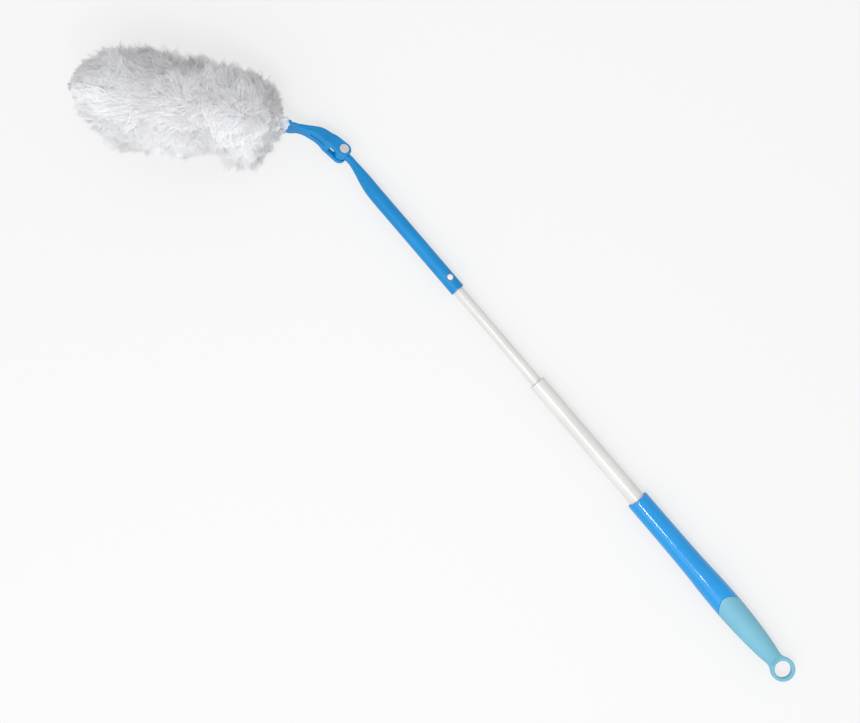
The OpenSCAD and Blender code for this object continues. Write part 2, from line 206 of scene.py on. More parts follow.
def turned(name, outline, matrix, n=96):
    """An open outline (along, radius) that starts and ends on the axis, turned about X."""
    inner = outline[1:-1]
    m = len(inner)
    verts = [(x, r * math.cos(TAU * k / n), r * math.sin(TAU * k / n)) for k in range(n) for x, r in inner]
    verts += [(outline[0][0], 0, 0), (outline[-1][0], 0, 0)]
    first, last = n * m, n * m + 1
    faces = []
    for k in range(n):
        a, b = k * m, ((k + 1) % n) * m
        faces += [(a + i, a + i + 1, b + i + 1, b + i) for i in range(m - 1)]
        faces += [(first, a, b), (last, b + m - 1, a + m - 1)]
    obj = new_object(name, verts, faces, matrix)
    face_outward(obj)
    return obj


def skin(name, rings, matrix, closed=False):
    """A surface over rings of equally many points, closed at both ends by a cap."""
    n = len(rings[0])
    verts = [p for ring in rings for p in ring]
    faces = []
    for i in range(len(rings) - (0 if closed else 1)):
        a, b = i * n, ((i + 1) % len(rings)) * n
        faces += [(a + k, a + (k + 1) % n, b + (k + 1) % n, b + k) for k in range(n)]
    if not closed:
        faces += [tuple(range(n)), tuple(range((len(rings) - 1) * n, len(rings) * n))]
    obj = new_object(name, verts, faces, matrix)
    face_outward(obj)
    return obj


def prism(name, outline, low, high, matrix):
    """A flat outline in X, Y pulled up along Z from low to high."""
    rings = [[(p[0], p[1], low) for p in outline], [(p[0], p[1], high) for p in outline]]
    return skin(name, rings, matrix)


def block(name, low, high, matrix):
    (x0, y0, z0), (x1, y1, z1) = low, high
    return prism(name, [(x0, y0), (x1, y0), (x1, y1), (x0, y1)], z0, z1, matrix)


def rod(name, r, low, high, matrix, n=96):
    return prism(name, [(r * math.cos(TAU * k / n), r * math.sin(TAU * k / n)) for k in range(n)], low, high, matrix)


def settle(obj):
    """Applies obj's modifiers to its mesh."""
    graph = bpy.context.evaluated_depsgraph_get()
    mesh = bpy.data.meshes.new_from_object(obj.evaluated_get(graph))
    obj.modifiers.clear()
    old = obj.data
    obj.data = mesh
    bpy.data.meshes.remove(old)
    return obj


def combine(obj, other, how):
    """Boolean of obj with other, which is used up."""
    m = obj.modifiers.new("combine", "BOOLEAN")
    m.operation, m.object, m.solver = how, other, "EXACT"
    settle(obj)
    bpy.data.objects.remove(other)
    return obj


def remesh(obj, voxel, smoothing):
    """An even skin over obj, with its edges rounded by the smoothing."""
    m = obj.modifiers.new("even", "REMESH")
    m.mode, m.voxel_size = "VOXEL", voxel
    m.use_smooth_shade = True
    if smoothing:
        s = obj.modifiers.new("soft", "SMOOTH")
        s.factor, s.iterations = 0.5, smoothing
    return settle(obj)


def place(obj, matrix):
    obj.data.transform(matrix)
    return obj


# ---------------------------------------------------------------- materials
def base_material(name, roughness, specular=0.5):
    mat = bpy.data.materials.new(name)
    mat.use_nodes = True
    bsdf = mat.node_tree.nodes["Principled BSDF"]
    bsdf.inputs["Roughness"].default_value = roughness
    bsdf.inputs["Specular IOR Level"].default_value = specular
    return mat, mat.node_tree, bsdf


def noise_node(tree, scale, detail=3.0, rough=0.5, stretch=(1, 1, 1)):
    """Noise in the object's own space; scale is in features per metre."""
    coord = tree.nodes.new("ShaderNodeTexCoord")
    mapping = tree.nodes.new("ShaderNodeMapping")
    mapping.inputs["Scale"].default_value = stretch
    tex = tree.nodes.new("ShaderNodeTexNoise")
    tex.inputs["Scale"].default_value = scale
    tex.inputs["Detail"].default_value = detail
    tex.inputs["Roughness"].default_value = rough
    tree.links.new(coord.outputs["Object"], mapping.inputs["Vector"])
    tree.links.new(mapping.outputs["Vector"], tex.inputs["Vector"])
    return tex


def tint(tree, bsdf, tex, dark, light, low=0.35, high=0.65):
    ramp = tree.nodes.new("ShaderNodeValToRGB")
    ramp.color_ramp.elements[0].position = low
    ramp.color_ramp.elements[0].color = (*dark, 1)
    ramp.color_ramp.elements[1].position = high
    ramp.color_ramp.elements[1].color = (*light, 1)
    tree.links.new(tex.outputs["Fac"], ramp.inputs["Fac"])
    tree.links.new(ramp.outputs["Color"], bsdf.inputs["Base Color"])


def vary_roughness(tree, bsdf, tex, low, high):
    span = tree.nodes.new("ShaderNodeMapRange")
    span.inputs["To Min"].default_value = low
    span.inputs["To Max"].default_value = high
    tree.links.new(tex.outputs["Fac"], span.inputs["Value"])
    tree.links.new(span.outputs["Result"], bsdf.inputs["Roughness"])


def bump(tree, bsdf, tex, strength, distance):
    node = tree.nodes.new("ShaderNodeBump")
    node.inputs["Strength"].default_value = strength
    node.inputs["Distance"].default_value = distance
    tree.links.new(tex.outputs["Fac"], node.inputs["Height"])
    tree.links.new(node.outputs["Normal"], bsdf.inputs["Normal"])


def plastic(name, dark, light, roughness, spread=0.04, coat=0.0, coat_rough=0.05, grain=2500.0, depth=0.00001,
            strength=0.25, specular=0.5):
    """Moulded plastic: a slight drift of colour, uneven gloss and a fine moulded grain."""
    mat, tree, bsdf = base_material(name, roughness, specular)
    tint(tree, bsdf, noise_node(tree, 35, 2), dark, light)
    vary_roughness(tree, bsdf, noise_node(tree, 120, 4), roughness - spread, roughness + spread)
    bump(tree, bsdf, noise_node(tree, grain, 2), strength, depth)
    bsdf.inputs["Coat Weight"].default_value = coat
    bsdf.inputs["Coat Roughness"].default_value = coat_rough
    return mat


def steel(name):
    mat, tree, bsdf = base_material(name, 0.3)
    bsdf.inputs["Metallic"].default_value = 1.0
    tint(tree, bsdf, noise_node(tree, 900, 3, stretch=(0.1, 1, 1)), (0.42, 0.43, 0.45), (0.6, 0.61, 0.63))
    vary_roughness(tree, bsdf, noise_node(tree, 1500, 3, stretch=(0.1, 1, 1)), 0.22, 0.4)
    return mat


def fibre_material(name, dark, light, sheen):
    mat, tree, bsdf = base_material(name, 0.95, 0.15)
    tint(tree, bsdf, noise_node(tree, 38, 4, 0.6), dark, light, 0.3, 0.6)
    bsdf.inputs["Sheen Weight"].default_value = sheen
    bsdf.inputs["Sheen Roughness"].default_value = 0.6
    return mat


def film_material(name):
    mat, tree, bsdf = base_material(name, 0.12, 0.7)
    tint(tree, bsdf, noise_node(tree, 160, 3), (0.85, 0.9, 0.97), (0.97, 0.98, 1.0))
    bsdf.inputs["Alpha"].default_value = 0.42
    bump(tree, bsdf, noise_node(tree, 420, 3), 0.5, 0.0003)
    return mat


GLOSS_BLUE = plastic(
    "handle_blue_gloss", (0.001, 0.228, 0.55), (0.002, 0.248, 0.59), 0.36, spread=0.05, coat=0.7, coat_rough=0.08,
    grain=900, depth=0.000003, strength=0.04, specular=0.1)
BLUE = plastic(
    "moulded_blue", (0.001, 0.185, 0.455), (0.002, 0.208, 0.495), 0.38, spread=0.06, coat=0.15, coat_rough=0.12,
    specular=0.2)
GRIP_BLUE = plastic(
    "soft_grip_blue", (0.136, 0.365, 0.475), (0.152, 0.388, 0.5), 0.55, spread=0.05, coat_rough=0.1,
    grain=3200, depth=0.00003, strength=0.4, specular=0.35)
TUBE_WHITE = plastic(
    "tube_white_paint", (0.55, 0.545, 0.53), (0.585, 0.58, 0.565), 0.3, spread=0.05, coat=0.3, coat_rough=0.15,
    grain=700, depth=0.000006, strength=0.15)
NYLON = plastic("white_nylon", (0.64, 0.64, 0.62), (0.69, 0.69, 0.67), 0.42, 0.06)
PIN_GREY = plastic("hinge_pin_grey", (0.45, 0.45, 0.445), (0.5, 0.5, 0.495), 0.34, 0.06)
STEEL = steel("spring_steel")
FIBRE = fibre_material("fluff_fibre", (0.955, 0.963, 0.995), (0.985, 0.987, 1.0), 0.3)
FLUFF_CORE = fibre_material("fluff_inner", (0.88, 0.895, 0.96), (0.94, 0.95, 0.99), 0.2)
BACKING = fibre_material("non_woven_backing", (0.78, 0.8, 0.84), (0.88, 0.9, 0.93), 0.1)
FILM = film_material("clear_film")

CAD_LOOKS = {
    "hanging_grip": GRIP_BLUE, "handle_tube": GLOSS_BLUE, "handle_bush": NYLON, "outer_tube": TUBE_WHITE,
    "outer_tube_bush": NYLON, "outer_lock_plug": BLUE, "outer_lock_expander": NYLON, "outer_lock_stop": BLUE,
    "inner_tube": TUBE_WHITE, "inner_lock_plug": BLUE, "inner_lock_expander": NYLON, "inner_lock_stop": BLUE,
    "snap_button": NYLON, "snap_spring": STEEL, "neck_tube": BLUE, "hinge_pin": NYLON, "hinge_pin_cap": NYLON,
    "tilt_pawl": NYLON, "pawl_spring": STEEL, "head_arm": BLUE, "pocket_film": FILM, "refill_backing": BACKING,
    "upper_fibres": FIBRE, "lower_fibres": FIBRE,
}
for node_name, look in CAD_LOOKS.items():
    cad = nodes[node_name]
    if not cad.material_slots:
        cad.data.materials.append(look)
    for entry in cad.material_slots:
        entry.material = look


def fit_out(obj, body, material, replaced=()):
    """Gives a finished piece its material, in its only slot, and its body, and hides the CAD nodes that it stands for.
    """
    obj.data.materials.clear()
    obj.data.materials.append(material)
    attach(obj, body)
    if replaced:
        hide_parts(*replaced)
    return obj


# ---------------------------------------------------------------- handle
def handle_loop(phi):
    """The handle's section at one side: under the grip, along the outside, round the lip and back down the bore."""
    edge = edge_at(phi)
    back = edge - 12
    pts = [(back, handle_r(back) - GRIP_SKIN - 0.2), (edge - 0.4, handle_r(edge) - GRIP_SKIN - 0.2)]
    pts += [(edge + 0.12, handle_r(edge) - 0.9), (edge + 0.14, handle_r(edge) - 0.3)]
    pts += [(edge + 0.28, handle_r(edge + 0.28) - 0.08), (edge + 0.55, handle_r(edge + 0.55))]
    count = 64
    start, end = edge + 1.2, HANDLE_END - 1.0
    pts += [(start + (end - start) * k / count, handle_r(start + (end - start) * k / count)) for k in range(count + 1)]
    lip = handle_r(HANDLE_END)
    pts += [(HANDLE_END - 0.55, lip - 0.05), (HANDLE_END - 0.22, lip - 0.2), (HANDLE_END - 0.05, lip - 0.45)]
    pts += [(HANDLE_END, lip - 0.8), (HANDLE_END - 0.05, 9.7), (HANDLE_END - 0.5, 9.05), (HANDLE_END - 1.1, 8.8)]
    pts += [(170, HANDLE_BORE_R), (120, HANDLE_BORE_R), (back, HANDLE_BORE_R)]
    return pts


handle = shade(loop_turned("handle_shell", handle_loop, METRES, 144), 40)
fit_out(handle, "handle", GLOSS_BLUE, ["handle_tube"])


def grip_loop(phi):
    """The soft grip's section: along the outside to its arched front edge, and back inside."""
    edge = edge_at(phi)
    count = 56
    start, end = 13.6, edge - 0.75
    pts = []
    for k in range(count + 1):
        x = start + (end - start) * (k / count) ** 1.3
        pts.append((x, handle_r(x) - 1.3 * max(0.0, (16.8 - x) / 3.2) ** 2))
    rim = handle_r(edge)
    pts += [(edge - 0.4, rim - 0.02), (edge - 0.15, rim - 0.14), (edge - 0.02, rim - 0.36), (edge, rim - 0.9)]
    pts += [(edge - 0.2, rim - GRIP_SKIN + 0.1), (60, handle_r(60) - GRIP_SKIN), (24, handle_r(24) - GRIP_SKIN)]
    pts += [(24, 1.0), (13.6, 1.0)]
    return pts


grip = shade(loop_turned("soft_grip", grip_loop, METRES, 144), 40)
fit_out(grip, "handle", GRIP_BLUE, ["hanging_grip"])


def hanging_ring():
    """The ring and the short web that joins it to the grip, as one smoothly rounded body."""
    half, corner = RING_THICK / 2, 1.5
    section = rounded(
        [(-half, RING_HOLE_R), (half, RING_HOLE_R), (half, RING_OUTER_R), (-half, RING_OUTER_R)], corner, 6)
    upright = Matrix.Rotation(-math.pi / 2, 4, "Y")
    ring = loop_turned("hanging_ring", section, upright, 128)
    rings = []
    for x, wide, tall in [(7.0, 9.3, 2.5), (9.5, 8.6, 2.9), (11.5, 8.1, 4.4), (13.2, 8.05, 6.4), (14.6, 8.2, 7.7),
                          (15.8, 8.38, 8.26), (16.8, 8.5, 8.48), (18.5, 8.5, 8.5)]:
        power = 2 + 2.2 * max(0.0, (14.6 - x) / 7.6)
        ring_pts = []
        for k in range(96):
            c, s = math.cos(TAU * k / 96), math.sin(TAU * k / 96)
            ring_pts.append((x, wide * math.copysign(abs(c) ** (2 / power), c),
                             tall * math.copysign(abs(s) ** (2 / power), s)))
        rings.append(ring_pts)
    web = skin("web", rings, Matrix.Identity(4))
    combine(web, rod("hole", (RING_HOLE_R + RING_OUTER_R) / 2, -20, 20, Matrix.Identity(4)), "DIFFERENCE")
    combine(ring, web, "UNION")
    remesh(ring, 0.28, 6)
    return place(ring, METRES)


ring = shade(hanging_ring(), 60)
fit_out(ring, "handle", GRIP_BLUE)


# ---------------------------------------------------------------- tubes
def tube(name, start, end, outer, inner, lip):
    """A painted tube with a rounded mouth."""
    count = 12
    pts = [(start + (end - start) * k / count, outer) for k in range(count)]
    pts += rounded([(end - 2, outer), (end, outer), (end, inner), (end - 2, inner)], [0, lip, lip, 0], 5)
    pts += [(start, inner)]
    return shade(loop_turned(name, pts, METRES, 128), 40)


thick = tube("thick_tube", THICK_END, THICK_MOUTH, THICK_R, THICK_R - WALL, 0.38)
fit_out(thick, "outer_tube", TUBE_WHITE, ["outer_tube"])
thin = tube("thin_tube", THIN_END, THIN_TOP, THIN_R, THIN_R - WALL, 0.2)
combine(thin, rod("hole", SNAP_R + 0.1, 0, 10, METRES @ BUTTON, 64), "DIFFERENCE")
shade(thin, 40)
fit_out(thin, "inner_tube", TUBE_WHITE, ["inner_tube"])


# ---------------------------------------------------------------- neck
def neck():
    """The neck: an open sleeve over the thin tube, tapering to a slim stem with a round hub for the pin."""
    sides = 112
    rim = NECK_RIM - PIN_X
    sections = [(-60, 0.02, 0), (-60, THIN_R - WALL, 0), (THIN_TOP - PIN_X + 3, THIN_R - WALL, 0)]
    sections += [(THIN_TOP - PIN_X + 3, THIN_R + 0.05, 0), (-140, THIN_R + 0.05, 0), (rim + 0.5, THIN_R + 0.05, 0)]
    sections += [(rim + 0.12, THIN_R + 0.2, 0), (rim, THIN_R + 0.5, 0), (rim, NECK_R - 0.55, 0)]
    sections += [(rim + 0.1, NECK_R - 0.25, 0), (rim + 0.3, NECK_R - 0.07, 0), (rim + 0.6, NECK_R, 0)]
    start, end = rim + 1.5, -54.0
    sections += [(start + (end - start) * k / 60, NECK_R, 0) for k in range(60)]
    sections += [(-a, r, s) for a, r, s in smooth(NECK_TAPER, 8)[::-1]]
    sections += [(-2, 0.02, 2.2)]
    rings = [
        [(x, PIN_DROP - s + r * math.cos(TAU * k / sides), r * math.sin(TAU * k / sides)) for k in range(sides)]
        for x, r, s in sections
    ]
    body = skin("neck_sleeve", rings, Matrix.Identity(4))
    half = HUB_THICK / 2
    hub_side = rounded([(-half, 0.9), (half, 0.9), (half, HUB_R), (-half, HUB_R)], [0, 0, 0.6, 0.6], 4)
    hub = loop_turned("hub", hub_side, Matrix.Rotation(-math.pi / 2, 4, "Y"), 96)
    combine(body, hub, "UNION")
    combine(body, rod("bore", PIN_R + 0.05, -20, 20, Matrix.Identity(4), 64), "DIFFERENCE")
    for stop in (-1, 0, 1):
        turn = Matrix.Rotation(PAWL_ANGLE + stop * math.pi / 4, 4, "Z") @ Matrix.Translation((HUB_R, 0, 0))
        corner_in = turn @ Matrix.Rotation(math.pi / 4, 4, "Z")
        combine(body, block("notch", (-0.67, -0.67, -10), (0.67, 0.67, 10), corner_in), "DIFFERENCE")
    to_tilt = TILT.inverted()
    combine(body, rod("button_hole", SNAP_R + 0.5, 0, 12, to_tilt @ BUTTON, 72), "DIFFERENCE")
    sink = [(5.6, 0), (5.6, SNAP_R + 0.52), (8, SNAP_R + 1.9), (8, 0)]
    combine(body, turned("sink", sink, to_tilt @ BUTTON @ Matrix.Rotation(-math.pi / 2, 4, "Y"), 72), "DIFFERENCE")
    combine(body, rod("rim_notch", 0.8, 0, 20, to_tilt @ Matrix.Translation((NECK_RIM, 0, 0)), 32), "DIFFERENCE")
    return place(body, METRES @ TILT)


neck_piece = shade(neck(), 38)
fit_out(neck_piece, "inner_tube", BLUE, ["neck_tube"])


# ---------------------------------------------------------------- snap button
def snap_button():
    """The button: a plain barrel with a soft edge and a low dome."""
    top, barrel = NECK_R + 0.2, 2.8
    pts = [(barrel, 0), (barrel, SNAP_R - 0.15), (barrel + 0.2, SNAP_R), (top - 1.75, SNAP_R)]
    for k in range(1, 12):
        a = k / 12 * math.pi / 2
        pts.append((top - 1.75 + 1.75 * math.sin(a), SNAP_R * math.cos(a) ** 0.75))
    pts.append((top, 0))
    return turned("snap_button_dome", pts, METRES @ BUTTON @ Matrix.Rotation(-math.pi / 2, 4, "Y"), 72)


button = shade(snap_button(), 50)
foot = block("foot", (-4.5, -2.7, 2.46), (4.5, 2.7, 3.2), METRES @ BUTTON)
combine(button, foot, "UNION")
shade(button, 50)
fit_out(button, "snap_button", NYLON, ["snap_button"])


# ---------------------------------------------------------------- hinge pin
def ringed_head(name, direction, tail):
    """A turned pin head with a raised rim, a groove, a flat middle and a dimple; tail is how far its shank runs."""
    base = BOSS_WIDTH / 2 - HEAD_SINK
    top = base + 1.5
    r = PIN_HEAD_R
    pts = [(tail, 0), (tail, PIN_R - 0.3), (tail + 0.3, PIN_R), (base, PIN_R), (base, r - 0.15), (base + 0.15, r)]
    pts += [(top - 0.5, r), (top - 0.2, r - 0.1), (top - 0.04, r - 0.32), (top, r - 0.6), (top - 0.04, r - 1.0)]
    pts += [(top - 0.2, r - 1.2), (top - 0.42, r - 1.32), (top - 0.45, r - 1.55), (top - 0.42, r - 2.1)]
    pts += [(top - 0.3, r - 2.3), (top - 0.18, r - 2.5), (top - 0.15, 1.15), (top - 0.28, 0.9), (top - 0.5, 0.6)]
    pts += [(top - 0.62, 0.3), (top - 0.65, 0)]
    side = Matrix.Rotation(-math.pi / 2 * direction, 4, "Y")
    return shade(turned(name, pts, METRES @ TILT @ side, 96), 35)


pin = ringed_head("hinge_pin_ringed", 1, 1 - BOSS_WIDTH / 2 + HEAD_SINK)
fit_out(pin, "head", PIN_GREY, ["hinge_pin"])
cap = ringed_head("hinge_cap_ringed", -1, BOSS_WIDTH / 2 - HEAD_SINK - 1)
fit_out(cap, "head", PIN_GREY, ["hinge_pin_cap"])


# ---------------------------------------------------------------- arm and fork
def arm():
    """The head's arm: two cheeks round the hub, a slit, a channel for the pawl, and a flat fork with two prongs."""
    flat = Matrix.Identity(4)
    line = smooth(ARM_LINE, 8)
    ahead = np.gradient(line[:, :2], axis=0)
    ahead /= np.linalg.norm(ahead, axis=1)[:, None]
    normal = np.stack([-ahead[:, 1], ahead[:, 0]], 1)
    upper = line[:, :2] + normal * line[:, 2:3]
    lower = line[:, :2] - normal * line[:, 2:3]
    side = [tuple(p) for p in upper] + [tuple(p) for p in lower[::-1]]
    body = prism("arm_and_fork", side, -BOSS_WIDTH / 2, BOSS_WIDTH / 2, flat)
    combine(body, rod("boss", BOSS_R, -BOSS_WIDTH / 2, BOSS_WIDTH / 2, flat), "UNION")
    widths = smooth(ARM_WIDTHS, 8)
    plan = [(x, w) for x, w in widths] + [(x, -w) for x, w in widths[::-1]]
    lie = Matrix.Rotation(math.pi / 2, 4, "X")
    combine(body, prism("plan", plan, -60, 60, lie), "INTERSECT")
    remesh(body, 0.32, 14)
    to_fork = TILT.inverted() @ FORK
    flatten = to_fork @ lie
    half = PRONG_THICK / 2
    shoulder = [(-4 + 9 * math.cos(TAU * k / 72), 9 * math.sin(TAU * k / 72)) for k in range(72)]
    combine(body, prism("shoulder", shoulder, -half, half, flatten), "UNION")
    wide = (PRONG_PITCH + PRONG_WIDTH) / 2
    combine(body, block("bar", (-1, -wide, -half), (4, wide, half), flatten), "UNION")
    for side_sign in (-1, 1):
        y = side_sign * PRONG_PITCH / 2
        tip = PRONG_LENGTH - PRONG_WIDTH / 2
        outline = [(0, y - PRONG_WIDTH / 2)]
        outline += [(tip + PRONG_WIDTH / 2 * math.sin(a), y - PRONG_WIDTH / 2 * math.cos(a))
                    for a in np.linspace(0, math.pi, 25)]
        outline += [(0, y + PRONG_WIDTH / 2)]
        combine(body, prism("prong", outline, -half, half, flatten), "UNION")
    slot = HUB_THICK / 2 + 0.3
    combine(body, rod("slot", HUB_R + 0.45, -slot, slot, flat), "DIFFERENCE")
    for low, high in [((-20, -20), (0, 20)), ((-1, -20), (3.5, 0)), ((-1, 3.5), (10, 13.5))]:
        combine(body, block("slot", (*low, -slot), (*high, slot), flat), "DIFFERENCE")
    combine(body, rod("bore", PIN_R + 0.03, -20, 20, flat, 64), "DIFFERENCE")
    for z in (-1, 1):
        low, high = sorted((z * (BOSS_WIDTH / 2 - HEAD_SINK), z * (BOSS_WIDTH / 2 + 2)))
        combine(body, rod("sink", PIN_HEAD_R + 0.3, low, high, flat), "DIFFERENCE")
    combine(body, block("slit", (15, 4, -0.65), (31, 24, 0.65), flat), "DIFFERENCE")
    channel = block("channel", (0, -3.2, -2.5), (27, 3.2, 2.5), TILT.inverted() @ PAWL)
    combine(body, channel, "DIFFERENCE")
    remesh(body, 0.3, 3)
    return place(body, METRES @ TILT)


arm_piece = shade(arm(), 55)
fit_out(arm_piece, "head", BLUE, ["head_arm"])


# ---------------------------------------------------------------- the refill
VIEW_ROLL = math.radians(-23.3)  # turns the fork's Y into the direction across the refill, seen from above
# Refill outline: distance from the fork, radius on the near side and on the far side, radius above and below
REFILL = [
    (2, 3, 4, 4, 4), (6, 9, 11, 10, 9), (11, 20, 21, 19, 17), (18, 35, 31, 31, 28), (28, 42, 36, 40, 35),
    (43, 42, 40, 44, 40), (60, 37, 42, 45, 42), (75, 39, 44, 44, 43), (88, 43, 46, 45, 44), (100, 44, 39, 46, 44),
    (110, 44, 43, 46, 45), (119, 43, 43, 46, 45), (133, 47, 42, 46, 45), (147, 47, 38, 46, 44),
    (160, 41, 37, 42, 42),
    (170, 36, 36, 38, 38), (180, 28, 30, 31, 32), (189, 20, 23, 24, 24), (197, 8, 11, 12, 12),
    (202, 0.5, 0.5, 0.5, 0.5),
]
OUTER = smooth(REFILL, 6)


def refill_radius(along, angle):
    """Radius of the refill's soft outline, for arrays of places along the fork and angles round it."""
    near, far, above, below = (np.interp(along, OUTER[:, 0], OUTER[:, k]) for k in (1, 2, 3, 4))
    c, s = np.cos(angle), np.sin(angle)
    wide = np.where(c > 0, near, far)
    tall = np.where(s > 0, above, below)
    return 1 / np.sqrt((c / wide) ** 2 + (s / tall) ** 2 + 1e-9)


def refill_points(along, angle, radius):
    """Points in the fork's frame (mm) from places along it, angles and radii."""
    turn = angle + VIEW_ROLL
    return np.stack([along, radius * np.cos(turn), radius * np.sin(turn)], -1)


def field(points, scale, seed):
    """Smooth noise at each of the points, about -1 to 1."""
    offset = Vector((seed * 13.1, seed * 7.7, seed * 3.3))
    return np.array([noise.noise(Vector(p) * scale + offset) for p in points])


FORK_NP = np.array(METRES @ FORK)
FORK_R, FORK_T = FORK_NP[:3, :3], FORK_NP[:3, 3]


def to_world(points):
    return points @ FORK_R.T + FORK_T


def to_fork(points):
    return (points - FORK_T) @ np.linalg.inv(FORK_R).T


def off_table(world, margin):
    """Lifts points that reach below the surface the duster lies on, softly."""
    floor = TABLE_Z * MM + margin
    z = world[:, 2]
    low = z < floor + 0.006
    z[low] = floor + 0.006 * np.exp((z[low] - floor - 0.006) / 0.006)
    return world


def core(name, side):
    """One half of the refill's dense inside, lumpy where it shows between the tufts, open for the fork."""
    n_along, n_round = ((150, 200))
    places = 9 + 170 * (0.5 - 0.5 * np.cos(np.linspace(0.06, math.pi, n_along)))
    angles = np.linspace(0, TAU, n_round, endpoint=False)
    a, t = (g.ravel() for g in np.meshgrid(places, angles, indexing="ij"))
    flat_radius = refill_radius(a, t)
    pts = refill_points(a, t, flat_radius)
    lumps = 1 + 0.05 * field(pts, 0.05, 1) + 0.04 * field(pts, 0.12, 2) + 0.03 * field(pts, 0.3, 3)
    world = off_table(to_world(refill_points(a, t, np.maximum(flat_radius * CORE_SHARE * lumps, 0.3))), 0.0006)
    pts = to_fork(world)
    rings = pts.reshape(n_along, n_round, 3)
    obj = skin(name, [[tuple(p) for p in ring_] for ring_ in rings], Matrix.Identity(4))
    bm = bmesh.new()
    bm.from_mesh(obj.data)
    cut = bmesh.ops.bisect_plane(
        bm, geom=bm.verts[:] + bm.edges[:] + bm.faces[:], plane_co=(0, 0, 0), plane_no=(0, -side, 0), clear_outer=True)
    edges = [e for e in cut["geom_cut"] if isinstance(e, bmesh.types.BMEdge)]
    bmesh.ops.holes_fill(bm, edges=edges, sides=0)
    bmesh.ops.recalc_face_normals(bm, faces=bm.faces)
    bm.to_mesh(obj.data)
    bm.free()
    combine(obj, block("room", (-30, -2.1, -12.4), (155, 2.1, 12.4), Matrix.Identity(4)), "DIFFERENCE")
    combine(obj, block("room", (-30, -3.6, -13.6), (10, 3.6, 13.6), Matrix.Identity(4)), "DIFFERENCE")
    obj.data.transform(METRES @ FORK)
    return shade(obj, 50)


CORES = (("fluff_inner_upper", 1, "upper_fibres"), ("fluff_inner_lower", -1, "lower_fibres"))
for half_name, half_side, cad_node in CORES:
    fit_out(core(half_name, half_side), "refill", FLUFF_CORE, [cad_node])


def unit(v):
    return v / np.maximum(np.linalg.norm(v, axis=-1, keepdims=True), 1e-9)


def tuft_seeds(rng, count):
    """Evenly scattered tuft places on the refill: along, angle."""
    places, angles = [], []
    weight = np.interp(np.linspace(3, 201, 199), OUTER[:, 0], OUTER[:, 1:].mean(1)) + 10
    table = np.cumsum(weight) / weight.sum()
    golden = (math.sqrt(5) - 1) / 2
    for i in range(count):
        u = (i + 0.5) / count
        places.append(np.interp(u, table, np.linspace(3, 201, 199)) + rng.normal(0, 1.2))
        angles.append(TAU * ((i * golden) % 1) + rng.normal(0, 0.05))
    return np.clip(np.array(places), 2.5, 200.5), np.array(angles)


def surface_normal(a, t):
    """Outward direction of the refill's outline in the fork's frame."""
    d = 1.5
    p = refill_points(a, t, refill_radius(a, t))
    pa = refill_points(a + d, t, refill_radius(a + d, t)) - refill_points(a - d, t, refill_radius(a - d, t))
    pt = refill_points(a, t + 0.03, refill_radius(a, t + 0.03)) - refill_points(a, t - 0.03, refill_radius(a, t - 0.03))
    n = np.cross(pt, pa)
    axis = p.copy()
    axis[:, 0] = 0
    sign = np.sign((n * (axis + np.array([1e-3, 0, 0]))).sum(1, keepdims=True))
    n = unit(n * np.where(sign == 0, 1, sign))
    end = np.clip((a - 193) / 8, 0, 1)[:, None]
    return unit(n * (1 - end) + end * (unit(axis) * 0.35 + np.array([1.0, 0, 0])))


def fibre_paths(rng, count_tufts, per_tuft):
    """Curved fibres in tufts: root, two bends and tip of each, in metres, with its tuft's outward direction."""
    a, t = tuft_seeds(rng, count_tufts)
    radius = refill_radius(a, t)
    out = surface_normal(a, t)
    seat = refill_points(a, t, radius)
    swirl = np.stack([field(seat, 0.028, s) for s in (11, 12, 13)], 1)
    swirl += 0.7 * np.stack([field(seat, 0.08, s) for s in (14, 15, 16)], 1)
    comb = np.array([0.75, 0.0, 0.0]) + 1.4 * swirl + rng.normal(0, 0.22, (count_tufts, 3))
    lean = comb - (comb * out).sum(1, keepdims=True) * out
    lumps = 0.06 * field(seat, 0.045, 5) + 0.05 * field(seat, 0.11, 6)
    length = np.clip(radius * 0.5, 6, 16.5) * rng.uniform(0.8, 1.2, count_tufts)
    sink = 0.7 * length - radius * (lumps + rng.normal(0, 0.022, count_tufts))
    base = seat - sink[:, None] * out
    # roots spread round each tuft's seat, tips gathered into a few points
    n = count_tufts * per_tuft
    which = np.repeat(np.arange(count_tufts), per_tuft)
    spread = rng.normal(0, 1, (n, 3))
    spread -= (spread * out[which]).sum(1, keepdims=True) * out[which]
    wide = (0.26 * length)[which][:, None] * spread
    lock = which * LOCKS_PER_TUFT + rng.integers(0, LOCKS_PER_TUFT, n)
    lock_shift = rng.normal(0, 0.14, (count_tufts * LOCKS_PER_TUFT, 3)) * np.repeat(length, LOCKS_PER_TUFT)[:, None]
    tip_shift = lock_shift[lock] + 0.22 * wide + rng.normal(0, 0.3, (n, 3))
    reach_each = (length[which] * rng.uniform(0.75, 1.05, n))[:, None]
    root = base[which] + wide - out[which] * 2.0
    direction = unit(out + 0.85 * lean)[which]
    tip = base[which] + direction * reach_each + tip_shift
    curl = 0.18 * reach_each * (out[which] + rng.normal(0, 0.35, (n, 3)))
    p1 = root + (tip - root) * 0.36 + curl
    p2 = root + (tip - root) * 0.72 + curl * 0.7
    keep = np.ones(n, bool)
    for p in (root, p1, p2, tip):
        near_arm = (p[:, 0] < 7) & (abs(p[:, 1]) < 5.5) & (abs(p[:, 2]) < 13)
        inside = (abs(p[:, 1]) < 3.0) & (abs(p[:, 2]) < 13.5) & (p[:, 0] < 156)
        keep &= ~(near_arm | inside)
    return [p[keep] for p in (root, p1, p2, tip)], out[which][keep]


